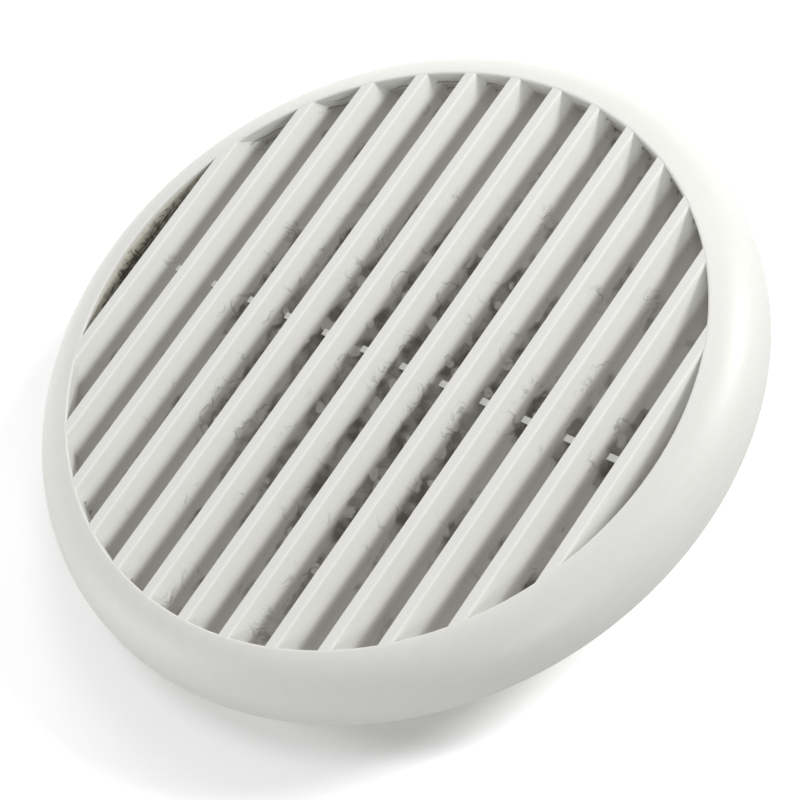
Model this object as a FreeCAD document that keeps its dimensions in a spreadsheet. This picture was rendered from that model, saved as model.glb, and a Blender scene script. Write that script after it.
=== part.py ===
"""Round louvred vent cover, moulded in one piece.

A domed ring stands on the wall and frames a round opening. Straight slats cross the opening and
lean the same way, so that rain and sight are turned back while air passes. One rib behind the
slats' lips ties them together, and a short collar behind the ring locates the cover in its hole.

The cover lies on its back: +Z is the vent's axis, out of the face, and the slats run along Y.
Lengths are in millimetres and angles in degrees.
"""

import FreeCAD
import Part
import Sketcher
import math
import os

SIZES = [
    ("outer_diameter", 175.0, "ring, across its skirt"),
    ("ring_width", 10.8, "ring, from its rim to the opening and the bore of the collar"),
    ("flange_height", 14.8, "wall plane to the top of the ring's face"),
    ("skirt_height", 2.4, "straight foot of the ring above the wall plane"),
    ("shell_thickness", 2.2, "wall of the hollow ring"),
    ("edge_break", 0.4, "chamfer round the opening"),
    ("land_width", 1.5, "flat top of the hollow, beside the collar"),
    ("collar_length", 12.0, "collar behind the wall plane"),
    ("collar_wall", 2.6, "wall of the collar"),
    ("lead_in", 1.0, "chamfer at the end of the collar"),
    ("slat_count", 13, "slats across the opening"),
    ("end_gap", 5.2, "opening to the lip of the first slat"),
    ("slat_depth", 12.0, "lip to rear edge, along the axis"),
    ("slat_lean", 30.0, "angle between a slat's flank and the axis"),
    ("lip_width", 2.15, "flat front edge of a slat"),
    ("lip_round", 0.9, "rounding between a lip and its flank"),
    ("lip_recess", 0.1, "lips below the top of the ring's face"),
    ("rear_width", 2.2, "rear edge of a slat"),
    ("rib_thickness", 1.8, "rib across the slats"),
    ("rib_setback", 5.86, "lips to the front edge of the rib"),
    ("root_depth", 0.4, "slat and rib ends inside the collar wall"),
]

# Places worked out from the sizes, as formulas that the features share.
OPENING_RADIUS = "(sizes.outer_diameter / 2 - sizes.ring_width)"
COLLAR_RADIUS = "(" + OPENING_RADIUS + " + sizes.collar_wall)"
ROOT_RADIUS = "(" + OPENING_RADIUS + " + sizes.root_depth)"
TOP_LEVEL = "(sizes.collar_length + sizes.flange_height)"
LIP_LEVEL = "(" + TOP_LEVEL + " - sizes.lip_recess)"
REAR_LEVEL = "(" + LIP_LEVEL + " - sizes.slat_depth)"
LAST_SLAT = "(" + OPENING_RADIUS + " - sizes.end_gap - sizes.lip_width - sizes.lip_round)"
SLAT_SPAN = "(2 * " + OPENING_RADIUS + " - 2 * sizes.end_gap - sizes.lip_width - sizes.lip_round)"
FLANK_HEIGHT = "(sizes.slat_depth - sizes.lip_round * (1 - sin(sizes.slat_lean)))"
FLANK_REACH = "(" + FLANK_HEIGHT + " * tan(sizes.slat_lean))"

# How a sketch names the parts of a line or arc, and its own axes.
START, END, CENTRE = range(1, 4)
ACROSS_AXIS, UP_AXIS = range(-1, -3, -1)
ORIGIN = (ACROSS_AXIS, START)


def fill_sheet(doc):
    """Write the driving sizes into the document's spreadsheet."""
    sheet = doc.addObject("Spreadsheet::Sheet", "sizes")
    for row, (alias, value, note) in enumerate(SIZES, start=1):
        sheet.set("A%d" % row, note)
        sheet.set("B%d" % row, str(value))
        sheet.setAlias("B%d" % row, alias)
    doc.recompute()
    return {alias: float(sheet.get(alias)) for alias, _, _ in SIZES}


def origin_item(body, role):
    """One of the body's own base planes or axes."""
    return next(item for item in body.Origin.OriginFeatures if item.Role == role)


def new_sketch(body, name):
    """Start a sketch on the body's own XZ plane: across is X, up is Z."""
    sketch = body.newObject("Sketcher::SketchObject", name)
    sketch.AttachmentSupport = [(origin_item(body, "XZ_Plane"), "")]
    sketch.MapMode = "FlatFace"
    return sketch


def add_line(sketch, first, last):
    start = FreeCAD.Vector(first[0], first[1], 0)
    end = FreeCAD.Vector(last[0], last[1], 0)
    return sketch.addGeometry(Part.LineSegment(start, end), False)


def add_arc(sketch, centre, radius, start_angle, end_angle):
    middle = FreeCAD.Vector(centre[0], centre[1], 0)
    circle = Part.Circle(middle, FreeCAD.Vector(0, 0, 1), radius)
    return sketch.addGeometry(Part.ArcOfCircle(circle, start_angle, end_angle), False)


def closed_outline(sketch, corners):
    """Draw a closed run of straight edges and join their ends."""
    edges = []
    for index, corner in enumerate(corners):
        edges.append(add_line(sketch, corner, corners[(index + 1) % len(corners)]))
    for index, edge in enumerate(edges):
        relate(sketch, "Coincident", edge, END, edges[(index + 1) % len(edges)], START)
    return edges


def relate(sketch, kind, *places):
    sketch.addConstraint(Sketcher.Constraint(kind, *places))


def drive(sketch, name, formula, kind, first, first_end, last, last_end):
    """Add a named distance between two points and bind it to the spreadsheet."""
    step = sketch.getPoint(last, last_end) - sketch.getPoint(first, first_end)
    drawn = step.x if kind == "DistanceX" else step.y
    here = sketch.addConstraint(Sketcher.Constraint(kind, first, first_end, last, last_end, drawn))
    sketch.renameConstraint(here, name)
    sketch.setExpression("Constraints." + name, formula)


def shared_places(size):
    """Radii and heights that several sketches are drawn to."""
    bore = size["outer_diameter"] / 2 - size["ring_width"]
    root = bore + size["root_depth"]
    top = size["collar_length"] + size["flange_height"]
    lip = top - size["lip_recess"]
    rear = lip - size["slat_depth"]
    return bore, root, top, lip, rear


def add_rib(doc, body, size):
    """The rib: a flat bar across the opening, behind the lips."""
    _, root, _, lip, rear = shared_places(size)
    front = lip - size["rib_setback"]
    sketch = new_sketch(body, "rib_side")
    corners = [(-root, rear), (root, rear), (root, front), (-root, front)]
    bottom, right, top, left = closed_outline(sketch, corners)
    relate(sketch, "Symmetric", bottom, START, bottom, END, UP_AXIS)
    relate(sketch, "Horizontal", top)
    relate(sketch, "Vertical", right)
    relate(sketch, "Vertical", left)
    drive(sketch, "root", ROOT_RADIUS, "DistanceX", *ORIGIN, bottom, END)
    drive(sketch, "rear_level", REAR_LEVEL, "DistanceY", *ORIGIN, bottom, END)
    drive(sketch, "height", "sizes.slat_depth - sizes.rib_setback", "DistanceY", right, START, right, END)
    doc.recompute()
    rib = body.newObject("PartDesign::Pad", "rib")
    rib.Profile = sketch
    rib.SideType = "Symmetric"
    rib.setExpression("Length", "sizes.rib_thickness")
    body.Tip = rib
    doc.recompute()


def add_slats(doc, body, size):
    """The slats: the last one is drawn in section, and a pattern repeats it across the opening."""
    bore, _, _, lip, rear = shared_places(size)
    rounding = size["lip_round"]
    right = bore - size["end_gap"] - rounding
    left = right - size["lip_width"]
    lean = math.radians(size["slat_lean"])
    flank_x = right + rounding * math.cos(lean)
    flank_top = lip - rounding * (1 - math.sin(lean))
    foot = flank_x + (flank_top - rear) * math.tan(lean)
    sketch = new_sketch(body, "slat_section")
    front_lip = add_line(sketch, (left, lip), (right, lip))
    lip_round = add_arc(sketch, (right, lip - rounding), rounding, lean, math.pi / 2)
    flank = add_line(sketch, (flank_x, flank_top), (foot, rear))
    rear_edge = add_line(sketch, (foot, rear), (foot - size["rear_width"], rear))
    rear_flank = add_line(sketch, (foot - size["rear_width"], rear), (left, lip))
    relate(sketch, "Tangent", front_lip, END, lip_round, END)
    relate(sketch, "Tangent", lip_round, START, flank, START)
    relate(sketch, "Coincident", flank, END, rear_edge, START)
    relate(sketch, "Coincident", rear_edge, END, rear_flank, START)
    relate(sketch, "Coincident", rear_flank, END, front_lip, START)
    relate(sketch, "Horizontal", front_lip)
    relate(sketch, "Horizontal", rear_edge)
    drive(sketch, "place", LAST_SLAT, "DistanceX", *ORIGIN, front_lip, START)
    drive(sketch, "lip_level", LIP_LEVEL, "DistanceY", *ORIGIN, front_lip, START)
    drive(sketch, "lip_width", "sizes.lip_width", "DistanceX", front_lip, START, front_lip, END)
    drive(sketch, "lip_round", "sizes.lip_round", "DistanceY", lip_round, CENTRE, front_lip, END)
    drive(sketch, "rear_level", REAR_LEVEL, "DistanceY", *ORIGIN, flank, END)
    drive(sketch, "lean", FLANK_REACH, "DistanceX", flank, START, flank, END)
    drive(sketch, "rear_width", "sizes.rear_width", "DistanceX", rear_edge, END, rear_edge, START)
    doc.recompute()
    slat = body.newObject("PartDesign::Pad", "slat")
    slat.Profile = sketch
    slat.SideType = "Symmetric"
    slat.setExpression("Length", "2 * " + ROOT_RADIUS)
    body.Tip = slat
    doc.recompute()
    slats = body.newObject("PartDesign::LinearPattern", "slats")
    slats.Originals = [slat]
    slats.Direction = (origin_item(body, "X_Axis"), [""])
    slats.Reversed = True
    slats.setExpression("Length", SLAT_SPAN)
    body.Tip = slats
    slats.setExpression("Occurrences", "sizes.slat_count")
    doc.recompute()


def trim_to_round(doc, body, size):
    """Turn the ends of the slats and the rib off on a circle inside the collar wall."""
    _, root, top, _, _ = shared_places(size)
    beyond = 2 * root
    sketch = new_sketch(body, "trim_section")
    corners = [(root, 0), (beyond, 0), (beyond, top), (root, top)]
    bottom, right, upper, left = closed_outline(sketch, corners)
    for edge in (bottom, upper):
        relate(sketch, "Horizontal", edge)
    for edge in (right, left):
        relate(sketch, "Vertical", edge)
    relate(sketch, "PointOnObject", bottom, START, ACROSS_AXIS)
    drive(sketch, "root", ROOT_RADIUS, "DistanceX", *ORIGIN, bottom, START)
    drive(sketch, "beyond", ROOT_RADIUS, "DistanceX", bottom, START, bottom, END)
    drive(sketch, "height", TOP_LEVEL, "DistanceY", right, START, right, END)
    doc.recompute()
    square_ended = body.Shape.Volume
    trim = body.newObject("PartDesign::Groove", "round_trim")
    trim.Profile = sketch
    trim.ReferenceAxis = (sketch, ["V_Axis"])
    trim.Angle = 360
    body.Tip = trim
    doc.recompute()
    if body.Shape.Volume >= square_ended:
        raise RuntimeError("the trim left the slat ends square")


def add_ring(doc, body, size):
    """The ring and its collar: one hollow section turned about the axis.

    The face is one arc from the chamfered opening to the skirt, which it leaves upright. The
    inside of the shell follows it at the shell's thickness, up to a flat land beside the collar.
    """
    bore, _, top, _, _ = shared_places(size)
    rim = size["outer_diameter"] / 2
    skirt_bore = rim - size["shell_thickness"]
    collar = bore + size["collar_wall"]
    land = collar + size["land_width"]
    lead = size["lead_in"]
    edge_break = size["edge_break"]
    seat = size["collar_length"]
    shoulder = seat + size["skirt_height"]
    width = rim - bore - edge_break
    rise = top - shoulder
    face_radius = (width ** 2 + rise ** 2) / (2 * width)
    centre = (rim - face_radius, shoulder)
    face_angle = math.atan2(rise, bore + edge_break - centre[0])
    inside_radius = face_radius - size["shell_thickness"]
    land_angle = math.acos((land - centre[0]) / inside_radius)
    land_level = shoulder + inside_radius * math.sin(land_angle)

    sketch = new_sketch(body, "ring_section")
    bore_wall = add_line(sketch, (bore, 0), (bore, top - edge_break))
    opening_edge = add_line(sketch, (bore, top - edge_break), (bore + edge_break, top))
    face = add_arc(sketch, centre, face_radius, 0, face_angle)
    skirt = add_line(sketch, (rim, shoulder), (rim, seat))
    foot = add_line(sketch, (rim, seat), (skirt_bore, seat))
    skirt_inside = add_line(sketch, (skirt_bore, seat), (skirt_bore, shoulder))
    face_inside = add_arc(sketch, centre, inside_radius, 0, land_angle)
    hollow_top = add_line(sketch, (land, land_level), (collar, land_level))
    collar_outside = add_line(sketch, (collar, land_level), (collar, lead))
    lead_in = add_line(sketch, (collar, lead), (collar - lead, 0))
    collar_end = add_line(sketch, (collar - lead, 0), (bore, 0))

    relate(sketch, "Coincident", bore_wall, END, opening_edge, START)
    relate(sketch, "Coincident", opening_edge, END, face, END)
    relate(sketch, "Tangent", face, START, skirt, START)
    relate(sketch, "Coincident", skirt, END, foot, START)
    relate(sketch, "Coincident", foot, END, skirt_inside, START)
    relate(sketch, "Tangent", skirt_inside, END, face_inside, START)
    relate(sketch, "Coincident", face_inside, CENTRE, face, CENTRE)
    relate(sketch, "Coincident", face_inside, END, hollow_top, START)
    relate(sketch, "Coincident", hollow_top, END, collar_outside, START)
    relate(sketch, "Coincident", collar_outside, END, lead_in, START)
    relate(sketch, "Coincident", lead_in, END, collar_end, START)
    relate(sketch, "Coincident", collar_end, END, bore_wall, START)
    for upright in (bore_wall, skirt, skirt_inside, collar_outside):
        relate(sketch, "Vertical", upright)
    for level in (foot, hollow_top, collar_end):
        relate(sketch, "Horizontal", level)
    relate(sketch, "PointOnObject", bore_wall, START, ACROSS_AXIS)

    drive(sketch, "bore", OPENING_RADIUS, "DistanceX", *ORIGIN, bore_wall, START)
    drive(sketch, "top_level", TOP_LEVEL, "DistanceY", *ORIGIN, opening_edge, END)
    drive(sketch, "break_up", "sizes.edge_break", "DistanceY", bore_wall, END, opening_edge, END)
    drive(sketch, "break_across", "sizes.edge_break", "DistanceX", bore_wall, END, opening_edge, END)
    drive(sketch, "rim", "sizes.outer_diameter / 2", "DistanceX", *ORIGIN, skirt, END)
    drive(sketch, "seat_level", "sizes.collar_length", "DistanceY", *ORIGIN, skirt, END)
    drive(sketch, "skirt_height", "sizes.skirt_height", "DistanceY", skirt, END, skirt, START)
    drive(sketch, "shell", "sizes.shell_thickness", "DistanceX", foot, END, foot, START)
    drive(sketch, "collar", COLLAR_RADIUS, "DistanceX", *ORIGIN, collar_outside, END)
    drive(sketch, "land", "sizes.land_width", "DistanceX", hollow_top, END, hollow_top, START)
    drive(sketch, "lead_up", "sizes.lead_in", "DistanceY", *ORIGIN, lead_in, START)
    drive(sketch, "lead_across", "sizes.lead_in", "DistanceX", lead_in, END, lead_in, START)
    doc.recompute()
    ring = body.newObject("PartDesign::Revolution", "ring")
    ring.Profile = sketch
    ring.ReferenceAxis = (sketch, ["V_Axis"])
    ring.Angle = 360
    body.Tip = ring
    doc.recompute()


def check(doc, body):
    """Stop if a feature failed, a sketch is loose, or the cover isn't one sound solid."""
    for item in doc.Objects:
        if "Invalid" in item.State or "Error" in item.State:
            raise RuntimeError("%s failed: %s" % (item.Name, item.State))
        if item.TypeId == "Sketcher::SketchObject" and not item.FullyConstrained:
            raise RuntimeError("%s is not fully constrained" % item.Name)
    shape = body.Shape
    if shape.isNull() or not shape.isValid() or len(shape.Solids) != 1:
        raise RuntimeError("%s is not one valid solid" % body.Label)


def main():
    doc = FreeCAD.newDocument("round_vent_cover")
    size = fill_sheet(doc)
    cover = doc.addObject("PartDesign::Body", "vent_cover")
    cover.Label = "vent_cover"
    cover.Placement = FreeCAD.Placement()
    add_rib(doc, cover, size)
    add_slats(doc, cover, size)
    trim_to_round(doc, cover, size)
    add_ring(doc, cover, size)
    check(doc, cover)
    os.makedirs("parts", exist_ok=True)
    cover.Shape.exportStep("parts/" + cover.Label + ".step")
    box = cover.Shape.optimalBoundingBox(False)
    print(cover.Label, "volume", round(cover.Shape.Volume), "box", box)


main()
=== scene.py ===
# %% [markdown]
# # Dressing a round louvred vent cover
#
# The cover is one plastic moulding: a domed ring, thirteen leaning slats, a rib that ties them
# together, and a collar that plugs into a hole in the wall. Its imported model is already true to
# size, so this lesson makes a finer mesh of the same form, with rounded mould edges, and gives it the
# satin white plastic, the grime and the painted shade between the slats and the light of the
# photograph.
#
# The imported model is loaded first. It stays where it is, and its box is kept, since the rim radius
# and the height are taken from it.

# %% Load the imported cover
import math

import bmesh
import bpy
from mathutils import Matrix, Vector


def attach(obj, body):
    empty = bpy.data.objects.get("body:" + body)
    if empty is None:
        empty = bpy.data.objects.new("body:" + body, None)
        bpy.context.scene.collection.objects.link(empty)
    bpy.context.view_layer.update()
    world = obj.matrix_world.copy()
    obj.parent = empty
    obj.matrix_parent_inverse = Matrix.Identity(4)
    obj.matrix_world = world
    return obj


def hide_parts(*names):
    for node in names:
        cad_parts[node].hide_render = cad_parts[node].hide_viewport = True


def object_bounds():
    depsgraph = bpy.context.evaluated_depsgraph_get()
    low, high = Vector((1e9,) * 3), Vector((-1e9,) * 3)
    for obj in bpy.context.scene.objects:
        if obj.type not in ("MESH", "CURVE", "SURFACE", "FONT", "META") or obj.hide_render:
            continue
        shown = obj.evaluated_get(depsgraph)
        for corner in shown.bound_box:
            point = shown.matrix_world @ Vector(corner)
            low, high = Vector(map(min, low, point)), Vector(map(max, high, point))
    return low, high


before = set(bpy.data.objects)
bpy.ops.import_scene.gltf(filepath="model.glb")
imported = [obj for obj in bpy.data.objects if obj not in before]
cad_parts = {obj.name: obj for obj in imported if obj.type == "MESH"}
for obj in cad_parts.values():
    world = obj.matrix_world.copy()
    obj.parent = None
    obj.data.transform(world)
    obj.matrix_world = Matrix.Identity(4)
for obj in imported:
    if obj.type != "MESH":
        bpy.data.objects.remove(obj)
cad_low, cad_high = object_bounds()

print("cover:", [round(1000 * side, 1) for side in cad_high - cad_low], "mm")

# %% [markdown]
# ## Sizes
#
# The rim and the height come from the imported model. The rest are the cover's own sizes, measured
# as a maker would with a calliper. The cover lies on its back: +Z points out of its face and the
# slats run along Y.

# %% Name the sizes
MM = 0.001
rim_radius = cad_high.x
top_level = cad_high.z
ring_width = 10.8 * MM
collar_length = 12.0 * MM
collar_wall = 2.6 * MM
lead_in = 1.0 * MM
skirt_height = 2.4 * MM
shell_thickness = 2.2 * MM
land_width = 1.5 * MM
opening_radius = rim_radius - ring_width
collar_radius = opening_radius + collar_wall
print("opening radius %.1f mm" % (opening_radius / MM))


# %% [markdown]
# ## The ring and its collar
#
# The ring is a turned form, so its section is drawn once, in the XZ plane, and spun about the axis.
# The section could be one long list of points. Instead, the two long curves of the dome are made by
# spinning a single vertex about their common centre, and the corners are rounded by a vertex bevel,
# which is how the mould's edges are broken on the real thing.

# %% Draw the section of the ring
def spun_arc(bm, centre, start, angle, steps):
    """Spin a vertex about a point of the XZ plane, and return the row of vertices in order."""
    first = bm.verts.new(start)
    bmesh.ops.spin(bm, geom=[first], cent=centre, axis=(0, 1, 0), dvec=(0, 0, 0),
                   angle=-angle, steps=steps, use_merge=False, use_duplicate=False)
    bm.verts.ensure_lookup_table()
    return bm.verts[-steps - 1:]


def join_in_a_row(bm, vertices):
    """Draw a straight edge from each vertex to the next."""
    for first, last in zip(vertices, vertices[1:]):
        bmesh.ops.contextual_create(bm, geom=[first, last])


def round_corner(bm, corner, reach, segments):
    """Round one corner of a section, starting at that distance from the corner."""
    bmesh.ops.bevel(bm, geom=[corner], affect="VERTICES", offset=reach, offset_type="OFFSET",
                    segments=segments, profile=0.5, material=-1)


shoulder_level = collar_length + skirt_height
edge_break = 0.4 * MM
dome_width = ring_width - edge_break
dome_rise = top_level - shoulder_level
dome_radius = (dome_width ** 2 + dome_rise ** 2) / (2 * dome_width)
dome_centre = Vector((rim_radius - dome_radius, 0, shoulder_level))
hollow_radius = dome_radius - shell_thickness
dome_angle = math.acos((opening_radius - dome_centre.x) / dome_radius)
hollow_angle = math.acos((collar_radius + land_width - dome_centre.x) / hollow_radius)
DOME_STEPS = 22

section = bmesh.new()
dome = spun_arc(section, dome_centre, dome_centre + Vector((dome_radius, 0, 0)),
                dome_angle, DOME_STEPS)
hollow = spun_arc(section, dome_centre, dome_centre + Vector((hollow_radius, 0, 0)),
                  hollow_angle, DOME_STEPS)
foot_outside = section.verts.new((rim_radius, 0, collar_length))
foot_inside = section.verts.new((rim_radius - shell_thickness, 0, collar_length))
hollow_corner = section.verts.new((collar_radius, 0, hollow[-1].co.z))
collar_shoulder = section.verts.new((collar_radius, 0, lead_in))
collar_tip = section.verts.new((collar_radius - lead_in, 0, 0))
collar_inside = section.verts.new((opening_radius, 0, 0))
opening_edge = dome[-1]
join_in_a_row(section, [dome[0], foot_outside, foot_inside, hollow[0]])
join_in_a_row(section, [hollow[-1], hollow_corner, collar_shoulder, collar_tip, collar_inside,
                        opening_edge])
print("section drawn with", len(section.verts), "points")

# %% [markdown]
# The broad rounding at the opening is the one that catches the light in the photograph as a bright
# line between the slats. The other corners only need a hint of a radius.

# %% Round the corners and spin the ring
OPENING_ROUND = 0.55 * MM
SMALL_ROUND = 0.2 * MM
RING_STEPS = 288

round_corner(section, opening_edge, OPENING_ROUND, 6)
for corner in (foot_outside, foot_inside, collar_shoulder, collar_tip, collar_inside):
    round_corner(section, corner, SMALL_ROUND, 2)
bmesh.ops.spin(section, geom=section.verts[:] + section.edges[:], cent=(0, 0, 0), axis=(0, 0, 1),
               dvec=(0, 0, 0), angle=2 * math.pi, steps=RING_STEPS, use_merge=True,
               use_duplicate=False)


def mesh_piece(bm, name):
    """Close the seams of a bmesh, turn its faces outwards and make it an object of the scene."""
    bmesh.ops.remove_doubles(bm, verts=bm.verts, dist=0.001 * MM)
    bmesh.ops.recalc_face_normals(bm, faces=bm.faces)
    mesh = bpy.data.meshes.new(name)
    bm.to_mesh(mesh)
    bm.free()
    piece = bpy.data.objects.new(name, mesh)
    bpy.context.scene.collection.objects.link(piece)
    print(name, "has", len(mesh.polygons), "faces")
    return piece


vent_cover = mesh_piece(section, "round_vent_cover")

# %% [markdown]
# ## The slats
#
# Every slat has the same section: a flat lip in front, a rounded edge on the lit side, a flank that
# leans away from it, and a narrower rear edge. The section is filled as one face, its corners are
# bevelled, and the face is extruded to the full width of the opening. The row is then a loop of
# copies. An Array modifier would do as well, but a loop keeps one plain mesh for what follows.

# %% Extrude one slat and repeat it
def vertices_of(result):
    """The vertices in what a bmesh operator gives back."""
    return [item for item in result["geom"] if isinstance(item, bmesh.types.BMVert)]


SLAT_COUNT = 13
slat_depth = 12.0 * MM
slat_lean = math.radians(30.0)
lip_width = 2.15 * MM
lip_round = 0.9 * MM
rear_width = 2.2 * MM
end_gap = 5.2 * MM
lip_level = top_level - 0.1 * MM
rear_level = lip_level - slat_depth
root_radius = opening_radius + 0.4 * MM

first_lip = -(opening_radius - end_gap)
last_lip = opening_radius - end_gap - lip_width - lip_round
pitch = (last_lip - first_lip) / (SLAT_COUNT - 1)
corner_reach = lip_round * math.tan((math.pi / 2 - slat_lean) / 2)
lip_corner_x = lip_width + corner_reach
rear_x = lip_corner_x + slat_depth * math.tan(slat_lean)

slats = bmesh.new()
lip_left = slats.verts.new((0, -root_radius, lip_level))
lip_right = slats.verts.new((lip_corner_x, -root_radius, lip_level))
rear_right = slats.verts.new((rear_x, -root_radius, rear_level))
rear_left = slats.verts.new((rear_x - rear_width, -root_radius, rear_level))
bmesh.ops.contextual_create(slats, geom=[lip_left, lip_right, rear_right, rear_left])
round_corner(slats, lip_right, corner_reach, 6)
for corner in (lip_left, rear_right, rear_left):
    round_corner(slats, corner, 0.5 * SMALL_ROUND, 2)
drawn = bmesh.ops.extrude_face_region(slats, geom=slats.faces[:])
bmesh.ops.translate(slats, vec=(0, 2 * root_radius, 0), verts=vertices_of(drawn))
bmesh.ops.translate(slats, vec=(first_lip, 0, 0), verts=slats.verts)
one_slat = slats.verts[:] + slats.edges[:] + slats.faces[:]
for number in range(1, SLAT_COUNT):
    copy = bmesh.ops.duplicate(slats, geom=one_slat)
    bmesh.ops.translate(slats, vec=(number * pitch, 0, 0), verts=vertices_of(copy))
slat_row = mesh_piece(slats, "slat_row")
print("slat pitch %.3f mm" % (pitch / MM))

# %% [markdown]
# ## The rib
#
# One thin bar runs across the slats, well behind their lips, so that only its front edge shows in
# each gap. It starts as a cube that is scaled and moved, with its edges broken by a bevel.

# %% Make the rib
rib_thickness = 1.8 * MM
rib_front = lip_level - 5.86 * MM

rib_bar = bmesh.new()
bmesh.ops.create_cube(rib_bar, size=1)
bmesh.ops.scale(rib_bar, vec=(2 * root_radius, rib_thickness, rib_front - rear_level),
                verts=rib_bar.verts)
bmesh.ops.translate(rib_bar, vec=(0, 0, (rib_front + rear_level) / 2), verts=rib_bar.verts)
bmesh.ops.bevel(rib_bar, geom=rib_bar.edges[:], affect="EDGES", offset=SMALL_ROUND,
                offset_type="OFFSET", segments=2, profile=0.5, material=-1)
rib = mesh_piece(rib_bar, "rib")

# %% [markdown]
# ## One moulding
#
# The real cover has no seams, so the pieces are joined by Boolean modifiers: the slats take in the
# rib, a round punch trims them inside the collar's wall, and the ring takes in both. The result is
# read back from the evaluated object as one closed mesh, and the helpers are removed.

# %% Join the pieces
punch_bm = bmesh.new()
bmesh.ops.create_cone(punch_bm, cap_ends=True, segments=RING_STEPS, radius1=root_radius,
                      radius2=root_radius, depth=4 * top_level)
punch = mesh_piece(punch_bm, "round_punch")


def combine(piece, other, operation):
    """Join two closed meshes into the first one and remove the second."""
    tool = piece.modifiers.new(operation.lower(), "BOOLEAN")
    tool.operation = operation
    tool.solver = "EXACT"
    tool.object = other
    evaluated = piece.evaluated_get(bpy.context.evaluated_depsgraph_get())
    joined = bpy.data.meshes.new_from_object(evaluated)
    piece.modifiers.clear()
    piece.data = joined
    bpy.data.objects.remove(other)
    print(piece.name, operation.lower(), "->", len(joined.polygons), "faces")


combine(slat_row, rib, "UNION")
combine(slat_row, punch, "INTERSECT")
combine(vent_cover, slat_row, "UNION")

# %% [markdown]
# Joining leaves long flat faces beside narrow rounded ones. Smooth shading is kept on the curves and
# cut at real corners, and weighted normals keep the flat lips flat.

# %% Shade the moulding
SHARP_ANGLE = math.radians(32)

shell = bmesh.new()
shell.from_mesh(vent_cover.data)
bmesh.ops.remove_doubles(shell, verts=shell.verts, dist=0.002 * MM)
bmesh.ops.dissolve_degenerate(shell, edges=shell.edges, dist=0.001 * MM)
open_edges = sum(not edge.is_manifold for edge in shell.edges)
shell.to_mesh(vent_cover.data)
shell.free()
vent_cover.data.shade_smooth()
vent_cover.data.set_sharp_from_angle(angle=SHARP_ANGLE)
flat_lips = vent_cover.modifiers.new("flat_lips", "WEIGHTED_NORMAL")
flat_lips.keep_sharp = True
print("moulding:", len(vent_cover.data.polygons), "faces,", open_edges, "open edges")

# %% [markdown]
# ## The plastic
#
# The cover is moulded in white plastic with a satin face. Deep between the slats its colour is
# darkened as painted shade, the flanks just below the lips are painted a little whiter as bounce
# light, and the lips' rounded edges carry a painted highlight. Years of air have left dark smudges
# round dried drops in the middle of the grille, and a yellowed strip on the wall of the opening. All
# of it follows the place on the cover, so every mask below is worked out from the Object coordinates,
# turned into millimetres. An image could be painted instead, but a rule such as "deeper than the
# lips" also holds for the parts that the photograph hides.

# %% Start the material and its masks
satin_plastic = bpy.data.materials.new("satin_white_plastic")
satin_plastic.use_nodes = True
nodes, links = satin_plastic.node_tree.nodes, satin_plastic.node_tree.links
shader = nodes["Principled BSDF"]


def add_node(kind, feeds, output=0, **options):
    """Add a node, set its options, feed its sockets, and return the output that is used next."""
    node = nodes.new(kind)
    for option, value in options.items():
        setattr(node, option, value)
    for socket, value in feeds.items():
        if isinstance(value, bpy.types.NodeSocket):
            links.new(value, node.inputs[socket])
        else:
            node.inputs[socket].default_value = value
    return node.outputs[output]


def fade(value, nothing, full):
    """A mask that rises smoothly from 0 where the value is at the first number to 1 at the second."""
    return add_node("ShaderNodeMapRange", {"Value": value, "From Min": nothing, "From Max": full},
                    interpolation_type="SMOOTHSTEP")


def maths(operation, *values):
    return add_node("ShaderNodeMath", dict(enumerate(values)), operation=operation)


def all_of(first, *others):
    """Multiply masks, so that only what all of them show is left."""
    for other in others:
        first = maths("MULTIPLY", first, other)
    return first


def in_millimetres():
    """The Object coordinates of the material that is being mixed, in millimetres."""
    metres = add_node("ShaderNodeTexCoord", {}, "Object")
    return add_node("ShaderNodeVectorMath", {0: metres, "Scale": 1000}, operation="SCALE")


def distance(place, point):
    return add_node("ShaderNodeVectorMath", {0: place, 1: point}, "Value", operation="DISTANCE")


place = in_millimetres()
along_x, along_y, along_z = (add_node("ShaderNodeSeparateXYZ", {0: place}, axis) for axis in "XYZ")
flat_place = add_node("ShaderNodeVectorMath", {0: place, 1: (1, 1, 0)}, operation="MULTIPLY")
from_axis = add_node("ShaderNodeVectorMath", {0: flat_place}, "Value", operation="LENGTH")
depth = maths("SUBTRACT", lip_level / MM, along_z)
wall_radius = opening_radius / MM
inside_opening = fade(from_axis, wall_radius + 0.25, wall_radius + 0.05)
off_wall = fade(from_axis, wall_radius - 0.5, wall_radius - 2)
print("masks follow the axis, the depth and the opening's radius")

# %% [markdown]
# ## Clean plastic, painted bounce light, painted shade and painted highlights
#
# Hands and rain reach the faces that look straight out, so the lips and the rib's front stay clean.
# The other faces inside the opening take the dirt below, and painted light too: their upper part is
# painted a little whiter as painted bounce light, and deeper down a grey painted shade sets in. The
# rounded edge of each lip is painted paler as a painted highlight, which draws a thin bright line
# along every slat.

# %% Mask the painted shade, bounce light and edge highlights
facing_out = add_node("ShaderNodeSeparateXYZ", {0: add_node("ShaderNodeTexCoord", {}, "Normal")}, "Z")
# Faces inside the opening that do not look straight out: they take the dirt and also the painted
# shade and painted bounce light.
dirt_and_shade_faces = all_of(inside_opening, fade(facing_out, 0.95, 0.75))
painted_bounce_light = all_of(dirt_and_shade_faces, fade(depth, 0.8, 2.6))
painted_deep_shade = all_of(dirt_and_shade_faces, fade(depth, 3.2, 4.7))
painted_edge_highlight = all_of(inside_opening, fade(facing_out, 0.9995, 0.985), fade(facing_out, 0.68, 0.84),
                   fade(depth, 0.7, 0.5))
print("film and worn edges masked")

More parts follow.
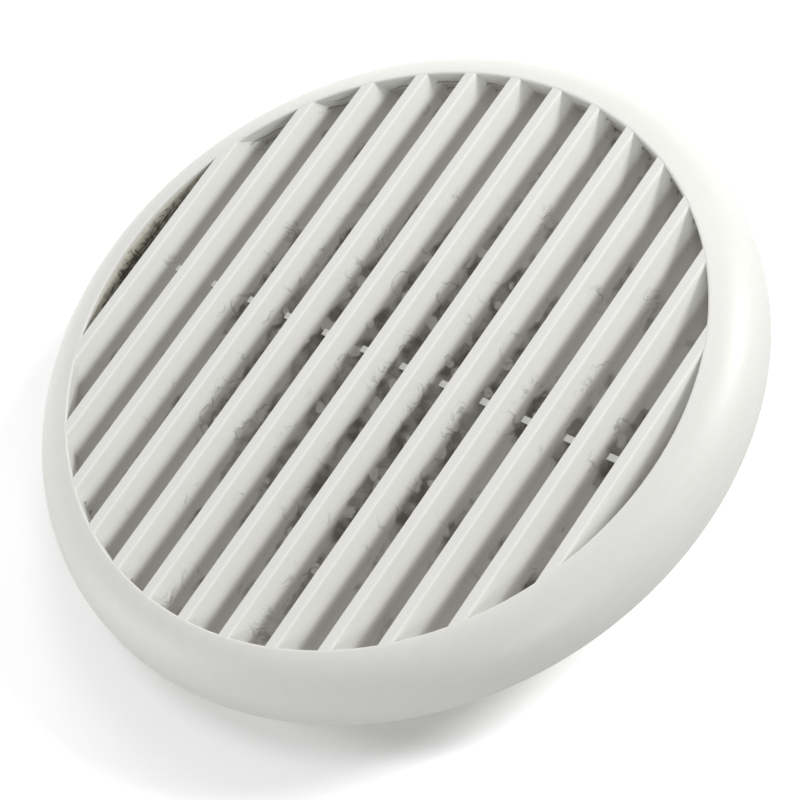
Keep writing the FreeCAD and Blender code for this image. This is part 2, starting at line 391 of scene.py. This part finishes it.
# %% [markdown]
# ## Smudges and dried drops
#
# Soft, wide noise decides where dirt gathered, with more of it towards the middle of the grille and
# beside the rib. Cells of a warped Voronoi pattern stand for the drops that dried there, clean
# inside and dark between. Warping matters: without it the cells look like tiles.

# %% Mask the smudges
wobble = add_node("ShaderNodeTexNoise", {"Vector": place, "Scale": 0.16, "Detail": 2.0}, "Color")
wobble = add_node("ShaderNodeVectorMath", {0: wobble, 1: (0.5, 0.5, 0.5)}, operation="SUBTRACT")
wobbled = add_node("ShaderNodeVectorMath", {0: wobble, 1: (4.5, 4.5, 4.5), 2: place},
                   operation="MULTIPLY_ADD")
drop = add_node("ShaderNodeTexVoronoi", {"Vector": wobbled, "Scale": 0.2}, "Distance")
patchy = add_node("ShaderNodeTexNoise", {"Vector": wobbled, "Scale": 0.22, "Detail": 3.0})
blotchy = add_node("ShaderNodeMapRange", {"Value": patchy, "From Min": 0.35, "From Max": 0.62,
                                          "To Min": 0.35})

gathered = add_node("ShaderNodeTexNoise", {"Vector": place, "W": 355.2, "Scale": 0.075,
                                           "Detail": 4.0}, noise_dimensions="4D")
towards_middle = fade(distance(place, (-3, -5, 20)), 66, 18)
beside_rib = fade(maths("ABSOLUTE", along_y), 12, 2)
gathered = maths("MULTIPLY_ADD", towards_middle, 0.26, gathered)
gathered = maths("MULTIPLY_ADD", beside_rib, 0.1, gathered)
heap = maths("MULTIPLY_ADD", gathered, 9.0, maths("MINIMUM", depth, 6.6))
smudge = all_of(dirt_and_shade_faces, off_wall, fade(heap, 11.3, 12.5), fade(depth, 3.6, 4.6),
                fade(drop, 0.25, 0.36), blotchy)
print("smudges masked")

# %% [markdown]
# Larger drops left only their rims, as thin broken lines that reach up onto the lit flanks. They are
# drawn where the distance to a cell's middle has one value, and a few cells get a sine of that
# distance instead, which gives several rims inside each other. A finer noise crinkles them.

# %% Mask the rims of the dried drops
crinkle = add_node("ShaderNodeTexNoise", {"Vector": place, "Scale": 0.45, "Detail": 3.0}, "Color")
crinkled = add_node("ShaderNodeVectorMath", {0: crinkle, 1: (3.2, 3.2, 3.2), 2: wobbled},
                    operation="MULTIPLY_ADD")
from_drop = add_node("ShaderNodeTexVoronoi", {"Vector": crinkled, "Scale": 0.12}, "Distance")
drop_number = add_node("ShaderNodeTexVoronoi", {"Vector": crinkled, "Scale": 0.12}, "Color")
single_rim = fade(maths("ABSOLUTE", maths("SUBTRACT", from_drop, 0.4)), 0.05, 0.01)
chosen = fade(add_node("ShaderNodeSeparateXYZ", {0: drop_number}), 0.84, 0.86)
many_rims = all_of(fade(maths("SINE", maths("MULTIPLY", from_drop, 48)), 0.1, 0.9), chosen)
drop_line = all_of(maths("MAXIMUM", single_rim, many_rims), dirt_and_shade_faces, off_wall,
                   fade(gathered, 0.52, 0.66), fade(patchy, 0.38, 0.6), fade(depth, 1.2, 4.2))
print("rims of the drops masked")

# %% [markdown]
# ## The wall of the opening
#
# Between the slats' ends the wall of the opening shows. Its left side has yellowed and carries dark
# swirls, which are painted darker and wider with depth as painted shade, and elsewhere thin dark
# streaks run along it where dust was washed down. A wave pattern, bent by its own noise, gives the
# streaks, and only its crests are kept.

# %% Mask the wall
on_wall = all_of(fade(from_axis, wall_radius - 0.9, wall_radius - 0.3), inside_opening,
                 fade(depth, 0.5, 1.3))
yellowed = all_of(on_wall, fade(along_x, -66.5, -71), fade(depth, 12, 8))
wave = add_node("ShaderNodeTexWave", {"Vector": place, "Scale": 0.13, "Distortion": 9.0,
                                      "Detail": 2.0, "Detail Scale": 0.5}, "Fac",
                bands_direction="Z")
streak = all_of(on_wall, fade(wave, 0.8, 0.98), fade(depth, 1.0, 3.5), fade(depth, 9, 6),
                fade(gathered, 0.42, 0.52))
swirl = add_node("ShaderNodeTexNoise", {"Vector": place, "Scale": 0.22, "Detail": 3.0,
                                        "Distortion": 3.0})
thickened = maths("MULTIPLY_ADD", depth, 0.075, swirl)
# Dark swirls, and painted shade as well: they spread and darken with depth.
swirl_and_painted_shade = all_of(yellowed, fade(depth, 9, 7), fade(thickened, 0.62, 0.95))
print("yellowed wall, swirls and streaks masked")

# %% [markdown]
# ## The colours
#
# The masks lay the colours over each other, palest first. The clean plastic is faintly mottled along
# the slats, as moulded plastic is along its flow. Over it go painted bounce light and a painted
# highlight, then a grey painted shade deep between the slats, then the yellowing and the dirt. It is
# a little rougher where the painted shade lies, and a very fine bump stands for the grain of the
# mould.

# %% Lay the colours over each other
def laid_over(under, over, mask, amount=1.0):
    """Cover one colour with another where the mask says, by at most the amount."""
    return add_node("ShaderNodeMix", {"Factor": maths("MULTIPLY", mask, amount), 6: under, 7: over},
                    output=2, data_type="RGBA")


flow = add_node("ShaderNodeVectorMath", {0: place, 1: (0.5, 0.06, 0.5)}, operation="MULTIPLY")
mottled = add_node("ShaderNodeTexNoise", {"Vector": flow, "Scale": 1.0, "Detail": 4.0})
clean = laid_over((0.726, 0.723, 0.692, 1), (0.714, 0.711, 0.68, 1), fade(mottled, 0.35, 0.65))
# Painted bounce light: the upper flanks inside the opening are painted a little whiter.
clean = laid_over(clean, (0.748, 0.745, 0.713, 1), painted_bounce_light)
# Painted highlight: the rounded edge of each lip is painted paler, as a bright line.
clean = laid_over(clean, (0.785, 0.782, 0.75, 1), painted_edge_highlight)
# Painted shade: deep between the slats the colour turns grey, and it is lifted again further down as
# painted bounce light.
painted_shade_colour = laid_over((0.55, 0.533, 0.494, 1), (0.68, 0.663, 0.624, 1), fade(depth, 4.6, 7.6))
colour = laid_over(clean, painted_shade_colour, painted_deep_shade)
colour = laid_over(colour, (0.69, 0.665, 0.55, 1), yellowed, 0.85)
colour = laid_over(colour, (0.13, 0.118, 0.09, 1), smudge, 0.92)
colour = laid_over(colour, (0.2, 0.19, 0.17, 1), drop_line, 0.55)
colour = laid_over(colour, (0.12, 0.112, 0.1, 1), streak, 0.6)
colour = laid_over(colour, (0.08, 0.072, 0.055, 1), swirl_and_painted_shade, 0.9)
links.new(colour, shader.inputs["Base Color"])

grain = add_node("ShaderNodeTexNoise", {"Vector": place, "Scale": 1.5, "Detail": 3.0})
roughness = add_node("ShaderNodeMapRange", {"Value": grain, "To Min": 0.4, "To Max": 0.5})
links.new(maths("MULTIPLY_ADD", painted_deep_shade, 0.25, roughness), shader.inputs["Roughness"])
bump = add_node("ShaderNodeBump", {"Height": grain, "Strength": 0.05, "Distance": 0.0002})
links.new(bump, shader.inputs["Normal"])

vent_cover.data.materials.clear()
vent_cover.data.materials.append(satin_plastic)
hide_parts("vent_cover")
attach(vent_cover, "root")
print("satin plastic mixed from", len(nodes), "nodes")

# %% [markdown]
# ## The floor
#
# The cover lies on white paper that runs on without a visible end. A grid of one face, far larger
# than the view, is enough. In such a picture the paper is exposed almost to pure white while the
# plastic keeps its grey tones. So the paper glows by itself, and near the cover two soft circles take
# the glow away, which paints the cover's shadow on the paper; the paper is also left out of the
# bounced light, which would wash out the ring. The material is mixed with the same helpers, so the
# names for nodes and links now point to its own tree.

# %% Lay the floor
floor_bm = bmesh.new()
bmesh.ops.create_grid(floor_bm, x_segments=1, y_segments=1, size=30)
floor = mesh_piece(floor_bm, "floor")
white_paper = bpy.data.materials.new("white_paper")
white_paper.use_nodes = True
nodes, links = white_paper.node_tree.nodes, white_paper.node_tree.links
paper = nodes["Principled BSDF"].inputs
paper["Base Color"].default_value = (0.95, 0.95, 0.95, 1)
paper["Roughness"].default_value = 0.9
paper["Emission Color"].default_value = (1, 1, 1, 1)

on_paper = in_millimetres()
# Painted shadow: the paper's glow fades out in two soft circles near the cover.
glow_round_painted_near_shadow = maths("MULTIPLY", fade(distance(on_paper, (-20, -30, 0)), 78, 94), 0.46)
glow_round_painted_far_shadow = maths("MULTIPLY", fade(distance(on_paper, (21, 28, 0)), 101, 111), 0.16)
links.new(maths("ADD", glow_round_painted_near_shadow, glow_round_painted_far_shadow), paper["Emission Strength"])
floor.data.materials.append(white_paper)
floor.visible_diffuse = False
print("floor laid")

# %% [markdown]
# ## The lights
#
# The shadows show where the light came from: one low softbox from the far right lights the slats'
# flanks and leaves their lower halves dark, with a soft edge that gives its size. Everything else is
# fill: weak boxes low on the left and in front keep the ring's outside readable, one above lights the
# lips and the rib, and a dim white world lifts the rest. A helper places each box by its angles.

# %% Set the lights
scene = bpy.context.scene
scene.view_settings.view_transform = "Standard"
world = bpy.data.worlds.new("studio")
scene.world = world
world.use_nodes = True
world.node_tree.nodes["Background"].inputs["Color"].default_value = (1, 1, 1, 1)
world.node_tree.nodes["Background"].inputs["Strength"].default_value = 0.345


def softbox(name, azimuth, elevation, distance, size, power):
    """A square light that looks at the cover, placed by its angles in degrees as seen from there."""
    turn, rise = math.radians(azimuth), math.radians(elevation)
    direction = Vector((math.cos(turn) * math.cos(rise), math.sin(turn) * math.cos(rise),
                        math.sin(rise)))
    light = bpy.data.lights.new(name, "AREA")
    light.shape = "SQUARE"
    light.size = size
    light.energy = power
    lamp = bpy.data.objects.new(name, light)
    lamp.location = direction * distance
    lamp.rotation_euler = direction.to_track_quat("Z", "Y").to_euler()
    scene.collection.objects.link(lamp)
    print(name, "%.1f W" % power)
    return lamp


softbox("key", 53, 21, 0.75, 0.155, 3.1)
softbox("rear_fill", 105, 48, 1.0, 0.4, 2.1)
softbox("overhead_fill", 180, 75, 1.0, 0.35, 1.74)
softbox("left_rear_fill", 137, 12, 1.0, 0.5, 1.6)
softbox("left_fill", 183, 12, 1.0, 0.5, 1.15)
softbox("left_front_fill", 230, 12, 1.0, 0.5, 3.0)
softbox("front_fill", 329, 21, 1.0, 0.35, 2.4)

# %% [markdown]
# ## The camera
#
# The view was found by matching the ellipse of the opening, the slats' edges and the rib. A long lens
# keeps the two ends of the cover nearly the same size. The camera also rolls, so its three axes are
# written out instead of a point to look at.

# %% Place the camera
camera_data = bpy.data.cameras.new("camera")
camera = bpy.data.objects.new("camera", camera_data)
camera_data.lens = 124.66
camera_data.sensor_width = 36
right = Vector((0.76869, 0.55017, -0.32624))
up = Vector((-0.34289, 0.78501, 0.51593))
back = Vector((0.53995, -0.28473, 0.79208))
camera.matrix_world = Matrix.Translation((0.34690, -0.18545, 0.51519)) @ Matrix(
    (right, up, back)).transposed().to_4x4()
scene.collection.objects.link(camera)
scene.camera = camera
print("camera %.2f m from the cover" % camera.matrix_world.translation.length)
